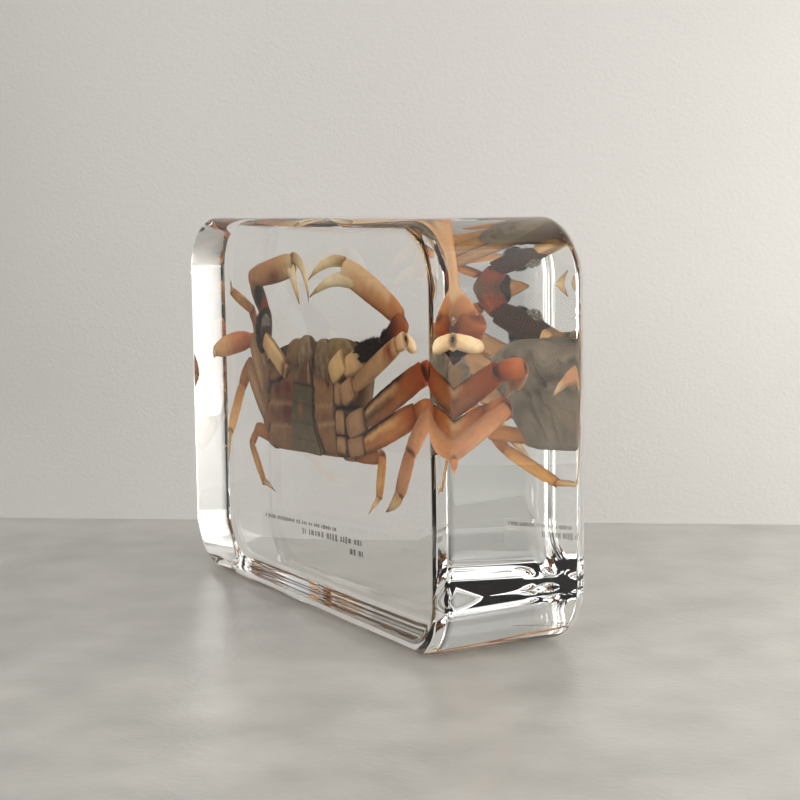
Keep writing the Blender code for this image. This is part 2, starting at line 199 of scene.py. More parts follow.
# Dried shell is mottled in patches of 1.4 mm and pitted every 0.4 mm. The resin wets it, because
# its refractive index is nearly the shell's own, and takes most of its gloss away.
MOTTLE_SCALE = 700.0
PIT_SCALE = 2600.0
PIT_SHADE = 0.84
SHELL_ROUGHNESS = (0.38, 0.62)
WETTED_SPECULAR = 0.05


def mixed(first, second, share):
    """Two linear colours, mixed."""
    share = min(max(share, 0.0), 1.0)
    return [a + (b - a) * share for a, b in zip(first, second)]


def bell(distance, width):
    """A soft bump: 1 in its middle, and nearly nothing twice its width away."""
    return math.exp(-(distance / width) ** 2)


def patch_strength(x, z, middle_x, middle_z, wide, high, strength):
    """How strongly a soft-edged patch covers a point of the chest."""
    return strength * bell(x - middle_x, wide) * bell(z - middle_z, high)


def shell_material(name, lift, mottling, pits):
    """Dried crab cuticle: satin, mottled and finely pitted, over its painted colours, which lift
    brightens as painted light.
    """
    material, tree, shader = new_material(name)
    place = add_node(tree, "ShaderNodeTexCoord").outputs["Object"]
    shade = add_node(tree, "ShaderNodeAttribute", {"attribute_name": "shade"}).outputs["Color"]
    mottle = add_node(tree, "ShaderNodeTexNoise",
                      {"Scale": MOTTLE_SCALE, "Detail": 5.0, "Roughness": 0.6},
                      Vector=place).outputs["Fac"]
    # lift scales the colours up: painted light, standing in for the light the resin carries onto
    # the crab
    gain = add_node(tree, "ShaderNodeMapRange",
                    {"From Min": 0.3, "From Max": 0.7, "To Min": lift * (1 - mottling),
                     "To Max": lift * (1 + mottling)}, Value=mottle).outputs["Result"]
    tone = add_node(tree, "ShaderNodeVectorMath", {"operation": "SCALE"}, Scale=gain)
    tree.links.new(shade, tone.inputs[0])
    speck = add_node(tree, "ShaderNodeTexVoronoi", {"Scale": PIT_SCALE}, Vector=place)
    spots = add_node(tree, "ShaderNodeMapRange",
                     {"From Min": 0.1, "From Max": 0.3, "To Min": PIT_SHADE, "To Max": 1.0},
                     Value=speck.outputs["Distance"]).outputs["Result"]
    spotted = add_node(tree, "ShaderNodeVectorMath", {"operation": "SCALE"}, Scale=spots)
    tree.links.new(tone.outputs["Vector"], spotted.inputs[0])
    tree.links.new(spotted.outputs["Vector"], shader.inputs["Base Color"])
    gloss = add_node(tree, "ShaderNodeMapRange",
                     {"To Min": SHELL_ROUGHNESS[0], "To Max": SHELL_ROUGHNESS[1]}, Value=mottle)
    tree.links.new(gloss.outputs["Result"], shader.inputs["Roughness"])
    bump = add_node(tree, "ShaderNodeBump", {"Strength": 0.5, "Distance": pits}, Height=spots)
    tree.links.new(bump.outputs["Normal"], shader.inputs["Normal"])
    shader.inputs["Specular IOR Level"].default_value = WETTED_SPECULAR
    return material


def skin(bm, sides, rings, place, paint):
    """Wrap a grid into one closed skin, ring by ring, and paint it."""
    shade = bm.verts.layers.float_color["shade"]
    made = bmesh.ops.create_grid(bm, x_segments=sides, y_segments=rings, size=1.0)
    for vert in made["verts"]:
        angle = (vert.co.x + 1) * math.pi
        share = (vert.co.y + 1) / 2
        co = Vector((math.cos(angle), math.sin(angle), 0))
        vert.co = place(co, share)
        vert[shade] = paint(vert.co, co, share)
    bmesh.ops.remove_doubles(bm, verts=made["verts"], dist=0.0001 * MM)
    rims = {edge for vert in made["verts"] if vert.is_valid
            for edge in vert.link_edges if edge.is_boundary}
    bmesh.ops.holes_fill(bm, edges=list(rims))


def along(rows, share):
    """A row of values part of the way through a table, eased from row to row."""
    spot = share * (len(rows) - 1)
    first = min(int(spot), len(rows) - 2)
    rest = spot - first
    before, start, end, after = (rows[min(max(first + step, 0), len(rows) - 1)]
                                 for step in (-1, 0, 1, 2))
    return [b + 0.5 * rest * (c - a + rest * (2 * a - 5 * b + 4 * c - d
                                              + rest * (3 * (b - c) + d - a)))
            for a, b, c, d in zip(before, start, end, after)]


def seam_distance(x, z, start, end):
    """How far a point of the belly or the back is from one seam, in millimetres."""
    run = Vector((end[0] - start[0], end[1] - start[1]))
    offset = Vector((x - start[0], z - start[1]))
    share = min(max(offset.dot(run) / run.length_squared, 0.0), 1.0)
    return (offset - run * share).length


def trunk_place(co, share):
    """A point of the trunk: a domed back, a flatter belly, blunt flanks, and the seams cut in."""
    height, half_width, belly, flank, back = along(TRUNK, share)
    side = math.copysign(abs(co.x) ** FLANK_POWER, co.x)
    x = side * half_width * MM
    if co.y < 0:
        y = (flank - abs(co.y) ** BELLY_POWER * (flank - belly)) * MM
    else:
        y = (flank + co.y ** BACK_POWER * (back - flank)) * MM
    rise = (height - TRUNK[0][0]) / (TRUNK[-1][0] - TRUNK[0][0])
    spot = Vector((BODY_CENTRE.x + x, y, height * MM - FRONT_DROOP * rise * co.x ** 2))
    spot = BODY_LEAN @ (spot - BODY_CENTRE) + BODY_CENTRE
    if co.y < 0:
        lift = BELLY_SWELL * noise.noise(spot / MM * BELLY_SWELL_SCALE)
        for start, end, depth, width in SEAMS:
            distance = seam_distance(spot.x / MM, spot.z / MM, start, end)
            lift += depth * MM * bell(distance, width)
            lift -= BANK_HEIGHT * bell(distance - BANK_PLACE, BANK_WIDTH)
        return spot + Vector((0, lift * min(1.0, abs(co.y) * FLANK_FADE), 0))
    middle = abs(spot.x / MM - BODY_CENTRE.x / MM)
    cut = 0.0
    for start, end, depth, width in BACK_SEAMS:
        cut += depth * MM * bell(seam_distance(middle, spot.z / MM, start, end), width)
    cut -= BACK_GRAIN * noise.noise(spot / MM * BACK_GRAIN_SCALE)
    return spot - Vector((0, cut * min(1.0, co.y * FLANK_FADE), 0))


def trunk_paint(spot, co, share):
    """Chest plates in red-brown, fawn and pale with dark seams and painted highlights on faint
    seams' lips, painted shade beside the legs' plates, under the mouth and on the far flank; and a
    back in a painted silvery grey sheen, marbled in olive, with painted shade in its grooves.
    """
    x, z = spot.x / MM, spot.z / MM
    patch = 0.5 + 0.5 * noise.noise(Vector((x, z, 3)) * 0.35)
    cloud = 0.5 + 0.5 * noise.noise(Vector((x, z, 9)) * 1.3)
    if co.y > 0:
        back = mixed(linear(BACK_SHEEN_GREY), linear(CHEST_PALE), cloud * 0.7 - 0.1)
        # Painted shade in the back's grooves
        cut = sum(bell(seam_distance(abs(x - BODY_CENTRE.x / MM), z, start, end), width * 0.7)
                  for start, end, depth, width in BACK_SEAMS)
        marble = noise.noise(Vector((x, z, 5)) * 0.5) + 0.5 * noise.noise(Vector((x, z, 7)) * 1.7)
        back = mixed(back, linear(BACK_OLIVE), 0.35 + 0.8 * marble)
        back = mixed(back, linear(CHEST_SHADE), 0.6 * cut)
        return mixed(linear(SHELL_BACK_EDGE), back, co.y * 2.6 + patch - 0.4)
    colour = mixed(linear(CHEST_BROWN), linear(CHEST_PALE), 0.25 + 0.5 * patch + 0.3 * cloud)
    if x > BEHIND_PLATES_X:
        colour = mixed(colour, linear(CHEST_SHADE), 0.7)
    for row in RED_PATCHES:
        red = patch_strength(x, z, *row)
        colour = mixed(colour, linear(CHEST_RED), red * (1.0 + 0.8 * cloud))
    if z > BEHIND_MOUTH_Z:
        colour = mixed(colour, linear(CHEST_SHADE), (z - BEHIND_MOUTH_Z) * 0.35)
    colour = mixed(colour, linear(CHEST_SHADE), patch_strength(x, z, *FLANK_SHADE))
    for start, end, depth, width in SEAMS:
        distance = seam_distance(x, z, start, end)
        # Faint seams get a painted highlight along their lip, deep ones a dark line
        if depth < FAINT_SEAM:
            colour = mixed(colour, linear(SEAM_HIGHLIGHT), 0.75 * cloud * bell(distance - 0.1, 0.3))
        else:
            colour = mixed(colour, linear(SEAM_DARK), (0.45 + depth) * bell(distance, width * 0.85))
    return mixed(linear(SHELL_BACK_EDGE), colour, abs(co.y) * FLANK_FADE)


bm = bmesh.new()
bm.verts.layers.float_color.new("shade")
skin(bm, BODY_SIDES, BODY_RINGS, trunk_place, trunk_paint)

# The tail flap lies folded forward on the chest. Height, middle and half width, in mm
TAIL_FLAP = ((23.9, -1.8, 5.4), (25.4, -2.0, 5.0), (27.4, -2.7, 4.3), (29.3, -2.9, 3.9),
             (31.6, -2.8, 3.6), (33.7, -2.4, 3.3), (36.8, -1.7, 2.1), (38.4, -0.9, 0.6))
TAIL_FLAP_Y = -5.45 * MM
TAIL_FLAP_HALF = 0.75 * MM
TAIL_FLAP_SIDES = 64
TAIL_FLAP_RINGS = 90
# Above these, in mm, lies the flap's narrow last joint, with a raised edge that carries a painted
# highlight
LAST_JOINT_Z = 34.6
LAST_JOINT_HIGHLIGHT_Z = 34.8
# Seams across the flap: height, depth as a share of the flap, and darkness
TAIL_SEAMS = ((25.8, 0.25, 0.2), (28.4, 0.30, 0.3), (31.3, 0.25, 0.3), (34.4, 0.45, 0.7))
FLAP_GREEN = "#564A31"
FLAP_PALE = "#726146"
FLAP_BROWN = "#654123"
FLAP_SPOT = "#8E5A30"
# The rusty spot, as a patch, and the heights, in mm, where the flap turns pale and brown
FLAP_SPOT_PATCH = (-3.2, 30.6, 0.8, 1.3, 1.0)
FLAP_PALE_Z = 29.0
FLAP_BROWN_Z = 34.0
# How wide the seams across the flap are cut, and how wide they are dark, in mm
TAIL_SEAM_CUT = 0.28
TAIL_SEAM_DARK = 0.2


def flap_place(co, share):
    """A point of the tail flap: a flat tapering strip, cut across by its seams."""
    height, middle, half_width = along(TAIL_FLAP, share)
    across = math.copysign(abs(co.x) ** 0.9, co.x)
    deep = math.copysign(abs(co.y) ** 0.6, co.y)
    ends = min(1.0, 6 * share + 0.1, 6 * (1 - share) + 0.15)
    seam = sum(depth * bell(height - level, TAIL_SEAM_CUT) for level, depth, dark in TAIL_SEAMS)
    ridge = 0.35 * bell(abs(co.x) - 0.62, 0.16) if height > LAST_JOINT_Z else 0.0
    swell = TAIL_FLAP_HALF * ends * (1 - seam + ridge)
    return Vector((middle * MM + across * half_width * MM, TAIL_FLAP_Y + deep * swell, height * MM))


def flap_paint(spot, co, share):
    """Grey-green and fawn, brown on the last joint, with one rusty spot, dark seams and a painted
    highlight along the last joint's raised edge.
    """
    height = along(TAIL_FLAP, share)[0]
    cloud = 0.5 + 0.5 * noise.noise(spot / MM * 0.8)
    paleness = (FLAP_PALE_Z - height) * 0.16 + 0.5 * cloud
    colour = mixed(linear(FLAP_GREEN), linear(FLAP_PALE), paleness)
    colour = mixed(colour, linear(FLAP_BROWN), (height - FLAP_BROWN_Z) * 2)
    rust = patch_strength(spot.x / MM, spot.z / MM, *FLAP_SPOT_PATCH)
    colour = mixed(colour, linear(FLAP_SPOT), rust)
    # A painted highlight along the last joint's raised edge
    if height > LAST_JOINT_HIGHLIGHT_Z:
        colour = mixed(colour, linear(SEAM_HIGHLIGHT), 0.45 * bell(abs(co.x) - 0.72, 0.10))
    for level, depth, dark in TAIL_SEAMS:
        colour = mixed(colour, linear(SEAM_DARK), dark * bell(height - level, TAIL_SEAM_DARK))
    return mixed(colour, linear(SEAM_DARK), (abs(co.x) - 0.93) * 12)


skin(bm, TAIL_FLAP_SIDES, TAIL_FLAP_RINGS, flap_place, flap_paint)

# The mouth plates and the cheeks beside them: centre and radii, in mm, and their two colours
LOBES = (
    ((-2.4, -3.1, 38.3), (3.0, 2.5, 3.7), "#8E7653", "#55371E"),
    ((3.6, -3.1, 37.9), (3.2, 2.4, 3.9), "#897050", "#4E301A"),
    ((-6.2, -1.9, 37.6), (4.4, 3.0, 3.6), "#86643B", "#4F2911"),
    ((8.6, -1.8, 38.8), (7.2, 3.1, 3.3), "#897049", "#573A21"),
)
LOBE_SIDES = 72
LOBE_RINGS = 36
LOBE_RIBS = 9


def lobe(centre, radii, pale, dark):
    """One rounded plate, flat in front and faintly ribbed, painted lighter towards its top as a
    highlight and darker at its foot as shade, and dark at its rim.
    """
    def place(co, share):
        angle = math.pi * (0.02 + 0.96 * share)
        rib = 1 + 0.02 * math.cos(LOBE_RIBS * math.atan2(co.y, co.x))
        wide = math.sin(angle) ** 0.8 * rib
        flat = math.copysign(abs(co.y) ** 0.7, co.y)
        grain = 0.12 * noise.noise(Vector((co.x * 2, co.y * 2, share * 4 + centre[0])))
        return Vector((centre[0] + co.x * radii[0] * wide,
                       centre[1] + flat * radii[1] * (wide + grain),
                       centre[2] - math.cos(angle) * radii[2])) * MM

    def paint(spot, co, share):
        rib = 0.5 + 0.5 * math.cos(LOBE_RIBS * math.atan2(co.y, co.x))
        patch = noise.noise(spot / MM * 0.9)
        rim = max(0.0, abs(co.x) - 0.75) * 4
        # Painted light and shade: lighter towards the top, darker at the foot
        tone = 0.45 + 0.2 * rib + patch * 0.6 + (share - 0.45) * 0.9 - rim
        return mixed(linear(dark), linear(pale), tone)

    skin(bm, LOBE_SIDES, LOBE_RINGS, place, paint)


for row in LOBES:
    lobe(*row)

# The eyestalks, long and thin, fold outwards under the front edge: two ends, in mm
EYESTALKS = (((2.0, 0.4, 41.1), (14.0, -0.6, 41.1)), ((-3.9, 0.6, 40.4), (-15.3, 0.6, 38.4)))
EYESTALK_THICK = 1.3
EYESTALK_SIDES = 20
EYESTALK_RINGS = 30
EYESTALK_HORN = "#6A5A42"
EYE_BLACK = "#17100C"
# Shares of the stalk: where the black eye at its end begins, and where it is thickest
EYE_START = 0.78
EYE_MIDDLE = 0.88
# A part runs nearly straight through the block where less than this of the depth is square to it
LEAST_THROUGH = 0.25


def rod_frame(start, end):
    """The axis of a straight part, and the two directions square to it: in the view, and deep. A
    part that runs nearly straight through the block takes up for deep."""
    axis = (end - start).normalized()
    through = Vector((0, 1, 0)) - axis * axis.y
    if through.length < LEAST_THROUGH:
        through = Vector((0, 0, 1)) - axis * axis.z
    through.normalize()
    across = axis.cross(through)
    if across.z < 0:
        across.negate()
    return axis, across, through


def eyestalk(start, end):
    """One eyestalk: a thin rod that swells into a dark eye near its end."""
    start, end = Vector(start) * MM, Vector(end) * MM
    axis, across, through = rod_frame(start, end)

    def place(co, share):
        knob = 0.75 + 0.45 * bell(share - EYE_MIDDLE, 0.1)
        wide = EYESTALK_THICK / 2 * MM * knob * math.sqrt(1 - (2 * abs(share - 0.5)) ** 12)
        return start.lerp(end, share) + (across * co.x + through * co.y) * max(wide, 0.02 * MM)

    def paint(spot, co, share):
        return mixed(linear(EYESTALK_HORN), linear(EYE_BLACK), (share - EYE_START) * 20)

    skin(bm, EYESTALK_SIDES, EYESTALK_RINGS, place, paint)


for row in EYESTALKS:
    eyestalk(*row)
bmesh.ops.recalc_face_normals(bm, faces=bm.faces)
# The body's shell colours are brightened by its lift, as painted light
shell = shell_material("dried crab shell, satin", lift=1.15, mottling=0.14, pits=0.02 * MM)
body = new_piece("crab_body_shell", bm, shell)
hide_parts("crab_body")


# The limbs. Each is a chain of hollow shell segments, hinged at thin dark joint skins. The crab
# dried with its claws raised over its head and its legs folded at the knees.
LIMB_SIDES = 28
LIMB_STEP = 0.22 * MM
LIMB_RINGS_LEAST = 14
JOINT_LAP = 0.3 * MM
JOINT_BALL = 0.3
JOINT_SKIN = "#32130A"
# How far the dark of a joint reaches over a segment's start and end, in mm, and how strong it is
JOINT_DARK = (0.3, 0.25)
JOINT_STRENGTH = 0.85
# How wide each kind of segment is from its start to its end, as shares of its breadth
OUTLINES = {
    "plate": (0.86, 1.0, 1.0, 0.98, 0.84),
    "coxa": (0.80, 1.0, 1.0, 1.0, 0.90),
    "merus": (0.72, 0.88, 0.97, 1.0, 1.0, 0.96, 0.86),
    "carpus": (0.74, 0.90, 1.0, 1.0, 0.86),
    "propodus": (0.78, 0.96, 1.0, 1.0, 0.92, 0.74),
    "leaf": (0.50, 0.86, 1.0, 1.0, 0.86, 0.52),
    "shank": (0.80, 0.94, 0.97, 0.97, 0.94, 0.80),
    "palm": (0.62, 0.84, 0.92, 0.98, 1.0, 0.96, 0.80),
    "fixed": (1.25, 1.22, 0.95, 0.76, 0.5, 0.12),
    "finger": (0.86, 1.0, 0.92, 0.76, 0.5, 0.12),
    "tip": (0.92, 0.92, 0.80, 0.60, 0.36, 0.10),
}
# How square the section is, how sharp its upper edge is, and how strongly it is ribbed
SECTIONS = {
    "plate": (0.55, 0.0, 0.0), "coxa": (0.62, 0.1, 0.0), "merus": (0.80, 0.35, 0.02),
    "carpus": (0.82, 0.15, 0.02), "propodus": (0.86, 0.2, 0.02), "leaf": (0.9, 0.3, 0.02),
    "shank": (0.80, 0.2, 0.02), "palm": (0.92, 0.1, 0.0), "fixed": (1.0, 0.15, 0.0),
    "finger": (1.0, 0.15, 0.0), "tip": (1.0, 0.1, 0.04),
}
SEGMENT_RIBS = 6
POINTED = ("fixed", "finger", "tip")
# How far the ends of a segment are rounded, as shares of its breadth
START_ROUNDING = 0.12
END_ROUNDING = 0.10
# The shell's unevenness, coarse and fine: how closely, per mm, and how high, in mm
COARSE_GRAIN, COARSE_HEIGHT = 1.3, 0.06
FINE_GRAIN, FINE_HEIGHT = 4, 0.02
# Basal plates are dark along their rims, from this share of their half breadth outwards
RIMMED = ("plate", "coxa")
RIM_START = 0.86
# Bands are painted on a segment's front, and this share of the way over its sides
BAND_REACH = 0.3
# Colours along a segment, then bands (place across it, half width, colour, strength, from, to)
# and patches (place along, place across, half length, half width, colour, strength)
PAINTS = {
    "cream block": (("#A0774E", "#B99463", "#BE9A68", "#A67E4E"), (),
                    ((0.12, 0.0, 0.05, 2.0, "#361709", 0.9),)),
    "cream plate": (("#A68053", "#BD9A68", "#B99461"), (), ()),
    "fur root": (("#AB8659", "#A9865B", "#825E3C", "#270F07"), (), ()),
    "fur dark": (("#341A0C", "#2D1708", "#341E0E"), (), ()),
    "wrist dark": (("#110503", "#1F0B05", "#4D2417", "#90522B"), (),
                   ((0.62, -0.75, 0.20, 0.4, "#8E4423", 0.85),)),
    "wrist red": (("#6D351C", "#6A331C", "#412C1B", "#594230", "#895E3D"), (),
                  ((0.25, 0.0, 0.16, 0.9, "#6D2E14", 0.6),)),
    "left palm": (("#98633C", "#9E6B42", "#A67852", "#B28A62", "#BFA078"),
                  ((-0.7, 0.5, "#935B32", 0.7, 0.0, 0.7),
                   (0.7, 0.4, "#B89A74", 0.7, 0.2, 1.0)), ()),
    "right palm": (("#946440", "#9A6C46", "#A0724A", "#A98258", "#BA996E"),
                   ((-0.8, 0.4, "#8B572F", 0.5, 0.0, 0.7),),
                   ((0.60, -0.40, 0.14, 0.5, "#683616", 0.95),)),
    "finger": (("#B59D74", "#C4B18B", "#C8B896", "#BEA578", "#775735"), (), ()),
    "finger brown": (("#9C7A52", "#AE946C", "#C2AC85", "#C2AA7D", "#775533"), (),
                     ((0.07, -0.1, 0.07, 0.6, "#6B4220", 0.9),)),
    "coxa pale": (("#835C40", "#94704E", "#9C7754", "#896344"), (), ()),
    "coxa far": (("#5A351F", "#7A5337", "#845E40", "#6A442B"), (), ()),
    "merus peach": (("#886441", "#926C47", "#9D7450", "#A57C53", "#AD8057"),
                    ((0.85, 0.25, "#694E35", 0.6, 0.0, 0.7),
                     (-0.7, 0.4, "#AD875E", 0.5, 0.0, 0.8)),
                    ((0.84, 0.0, 0.07, 1.2, "#72270D", 0.95),)),
    "wrist peach": (("#A87147", "#C69C73", "#D2AE84"), (), ()),
    "cream end": (("#B8966C", "#C9B08A", "#CDB894"), (), ((1.0, 0.0, 0.2, 2.0, "#A0704A", 0.7),)),
    "merus striped": (("#604833", "#704B30", "#834D29", "#8C4F28", "#8C4922", "#813612"),
                      ((0.85, 0.30, "#0D0401", 0.98, 0.0, 0.80),
                       (0.28, 0.20, "#A68459", 0.95, 0.05, 0.66),
                       (-0.22, 0.20, "#4B3020", 0.8, 0.0, 0.6),
                       (-0.80, 0.25, "#90613A", 0.6, 0.0, 0.8)), ()),
    "knee red": (("#5F220B", "#8B4318", "#9E5429", "#924E27"), (), ()),
    "shin orange": (("#9E6A44", "#A6724C", "#AA7B5A", "#A37B5C"), (), ()),
    "merus banded": (("#6C462A", "#8D5C36", "#A6683B", "#A66333", "#833915"),
                     ((0.85, 0.34, "#110603", 0.98, 0.0, 0.72),
                      (0.18, 0.20, "#C3965E", 0.95, 0.03, 0.74),
                      (-0.55, 0.35, "#AC7041", 0.75, 0.0, 0.85)), ()),
    "knee brown": (("#712F14", "#905228", "#A9683B", "#854824"), (), ()),
    "shank": (("#9A613E", "#A4724F", "#A97855", "#A4714E"),
              ((0.8, 0.3, "#915B33", 0.5, 0.0, 1.0),), ()),
    "tip pale": (("#A87448", "#B8946A", "#C2A67E", "#B89A74", "#6E4A2C"), (), ()),
    "slim": (("#7B4926", "#9B6637", "#A16A3E", "#92582F"), (), ()),
    "slim pale": (("#946132", "#B88349", "#C28F56", "#AB7742"),
                  ((0.8, 0.25, "#80512C", 0.5, 0.2, 1.0),), ()),
    "far merus": (("#735238", "#8C6745", "#9B7550", "#946F4A", "#8A6240"),
                  ((0.1, 0.3, "#AF8D64", 0.5, 0.0, 0.9),
                   (-0.6, 0.3, "#6F5038", 0.5, 0.0, 0.9)), ()),
    "far red": (("#A66A40", "#B4683D", "#B97648", "#C79461", "#CA9B67"), (), ()),
    "far shin": (("#A46C3C", "#BA824A", "#CF995E", "#D8AB6C"), (), ()),
}


def ramp(colours, share):
    """A colour part of the way along a row of evenly spaced ones."""
    spot = min(max(share, 0.0), 1.0) * (len(colours) - 1)
    first = min(int(spot), len(colours) - 2)
    return mixed(linear(colours[first]), linear(colours[first + 1]), spot - first)


def segment(bm, kind, start, end, breadth, thickness, bow, finish):
    """Skin one segment between two joints and paint it."""
    axis, across, through = rod_frame(start, end)
    length = (end - start).length
    square, keel, ribbed = SECTIONS[kind]
    outline = [(value,) for value in OUTLINES[kind]]
    colours, bands, patches = PAINTS[finish]
    lapped = length + 2 * JOINT_LAP
    pointed = kind in POINTED

    def place(co, share):
        reach = (share - 0.5) * lapped + length / 2
        rise = bow * 4 * share * (1 - share)
        scale = along(outline, share)[0]
        first = min(1.0, share * lapped / (START_ROUNDING * breadth))
        last = 1.0 if pointed else min(1.0, (1 - share) * lapped / (END_ROUNDING * breadth))
        scale *= math.sqrt(max(0.03, 1 - (1 - min(first, last)) ** 2))
        scale *= 1 + ribbed * math.cos(SEGMENT_RIBS * math.atan2(co.y, co.x))
        wide = math.copysign(abs(co.x) ** square, co.x) * breadth / 2 * scale
        deep = math.copysign(abs(co.y) ** square, co.y) * thickness / 2 * scale
        deep *= 1 - keel * max(0.0, co.x) ** 2
        spot = start + axis * reach + across * (wide + rise) + through * deep
        grain = (noise.noise(spot / MM * COARSE_GRAIN) * COARSE_HEIGHT
                 + noise.noise(spot / MM * FINE_GRAIN) * FINE_HEIGHT)
        return spot + (across * co.x + through * co.y) * grain * MM * min(1.0, scale * 2)

    def paint(spot, co, share):
        wander = 0.05 * noise.noise(spot / MM * 0.8)
        colour = ramp(colours, share + wander)
        for centre, half, tint, strength, low, high in bands:
            if co.y < BAND_REACH:
                fade = min(1.0, max(0.0, (high - share) * 8), max(0.0, (share - low) * 20 + 0.2))
                colour = mixed(colour, linear(tint),
                               strength * fade * bell(co.x - centre + 3 * wander, half))
        for place_on, centre, half_long, half, tint, strength in patches:
            colour = mixed(colour, linear(tint),
                           strength * bell(share - place_on + wander, half_long)
                           * bell(co.x - centre, half))
        joint = 0.0 if kind == "fixed" else bell(share * length / MM, JOINT_DARK[0])
        if not pointed:
            joint = max(joint, bell((1 - share) * length / MM, JOINT_DARK[1]))
        rim = max(0.0, abs(co.x) - RIM_START) * 6 if kind in RIMMED else 0.0
        return mixed(colour, linear(JOINT_SKIN), JOINT_STRENGTH * max(joint, rim))

    skin(bm, LIMB_SIDES, max(LIMB_RINGS_LEAST, round(lapped / LIMB_STEP)), place, paint)


def joint_skin(bm, centre, radius):
    """The dark skin that shows in a hinge, as a small ball between two segments."""
    shade = bm.verts.layers.float_color["shade"]
    made = bmesh.ops.create_icosphere(bm, subdivisions=3, radius=radius,
                                      matrix=Matrix.Translation(centre))
    for vert in made["verts"]:
        vert[shade] = linear(JOINT_SKIN)


def limb(name, material, rows, tufts=()):
    """Make one limb. A row holds a segment's kind, its start and end, its breadth, thickness and
    bow, in mm, and its paint. Where a start is None the segment carries on from the last."""
    bm = bmesh.new()
    bm.verts.layers.float_color.new("shade")
    last = None
    for kind, start, end, breadth, thickness, bow, finish in rows:
        begin = last if start is None else Vector(start) * MM
        if start is None:
            joint_skin(bm, begin, JOINT_BALL * min(breadth, thickness) * MM)
        last = Vector(end) * MM
        segment(bm, kind, begin, last, breadth * MM, thickness * MM, bow * MM, finish)
    for row in tufts:
        tuft(bm, *row)
    bmesh.ops.recalc_face_normals(bm, faces=bm.faces)
    piece = new_piece(name + "_shell", bm, material)
    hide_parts(name)


BRISTLE_ROOT = 0.075 * MM
BRISTLE_TIP = 0.015 * MM
BRISTLE_LENGTHS = (0.6, 1.2)
BRISTLE_LEAN = 0.9
BRISTLE_SCATTER = 0.3


def tuft(bm, centre, radii, lean, count, length, colours, seed):
    """A tuft of bristles: a felted core, and single bristles that stand out of it and lean."""
    fur = bmesh.new()
    shade = fur.verts.layers.float_color.new("shade")
    draw = random.Random(seed)
    centre, radii, lean = Vector(centre) * MM, Vector(radii) * MM, Vector(lean).normalized()
    turn = Vector((0, 0, 1)).rotation_difference(lean).to_matrix().to_4x4()
    core = bmesh.ops.create_icosphere(fur, subdivisions=4, radius=1.0)
    for vert in core["verts"]:
        rough = 1 + 0.16 * noise.noise(vert.co * 3 + centre / MM) + 0.05 * noise.noise(vert.co * 14)
        tone = 0.5 + 0.5 * noise.noise(vert.co * 6)
        vert.co = turn @ (Vector((a * b for a, b in zip(vert.co, radii))) * rough) + centre
        vert[shade] = mixed(linear(colours[0]), linear(colours[1]), tone * 0.6)
    for number in range(count):
        way = Vector([draw.gauss(0, 1) for axis in range(3)]).normalized()
        root = turn @ Vector((a * b for a, b in zip(way, radii))) + centre
        out = (turn.to_3x3() @ Vector((a / b for a, b in zip(way, radii)))).normalized()
        scatter = Vector([draw.gauss(0, BRISTLE_SCATTER) for axis in range(3)])
        aim = (out + lean * BRISTLE_LEAN + scatter).normalized()
        long = length * MM * draw.uniform(*BRISTLE_LENGTHS)
        place = (Matrix.Translation(root + aim * long * 0.4)
                 @ aim.to_track_quat("Z", "Y").to_matrix().to_4x4())
        made = bmesh.ops.create_cone(fur, cap_ends=True, segments=3, radius1=BRISTLE_ROOT,
                                     radius2=BRISTLE_TIP, depth=long, matrix=place)
        colour = mixed(linear(colours[0]), linear(colours[1]), draw.random())
        for vert in made["verts"]:
            vert[shade] = colour
    mesh = bpy.data.meshes.new("fur")
    fur.to_mesh(mesh)
    fur.free()
    bm.from_mesh(mesh)
    bpy.data.meshes.remove(mesh)


# Claws and legs are the same dried shell as the body, painted brighter by their lift to stand in
# for light
claw_shell = shell_material("dried claw shell, satin", lift=1.6, mottling=0.07, pits=0.03 * MM)
leg_shell = shell_material("dried leg shell, satin", lift=1.42, mottling=0.12, pits=0.04 * MM)
FUR_BLACK = ("#0A0402", "#200D07")
FUR_GREY = ("#150D07", "#33281B")
FUR_PALE = ("#5E574A", "#A09A88")

# The claws: long slim hands, smooth and tan, with pale curved fingers. Black, grey and pale hair
# grows in tufts on their forearms and wrists.
limb("left_claw", claw_shell, (
    ("coxa", (7.2, -4.6, 36.6), (11.6, -4.6, 39.2), 3.9, 3.4, 0.0, "cream plate"),
    ("merus", (11.2, -4.3, 37.8), (22.1, -1.3, 41.4), 4.2, 3.4, 0.0, "fur root"),
    ("carpus", None, (25.9, 0.9, 46.0), 4.0, 4.2, -0.3, "wrist dark"),
    ("palm", (26.0, 0.3, 45.8), (10.2, -2.8, 52.4), 4.4, 3.2, 0.4, "left palm"),
    ("fixed", (13.6, -2.6, 50.7), (0.3, -4.8, 48.0), 2.1, 1.8, 1.2, "finger"),
    ("finger", (11.2, -2.9, 53.3), (0.2, -5.2, 50.6), 1.9, 1.5, 1.3, "finger brown"),
), (
    ((18.2, -2.9, 40.5), (1.9, 1.5, 4.8), (0.96, 0.2, 0.22), 1500, 0.7, FUR_BLACK, 3),
    ((21.9, -1.2, 42.6), (1.0, 1.2, 1.5), (0.4, 0.0, 0.9), 400, 0.5, FUR_BLACK, 4),
))
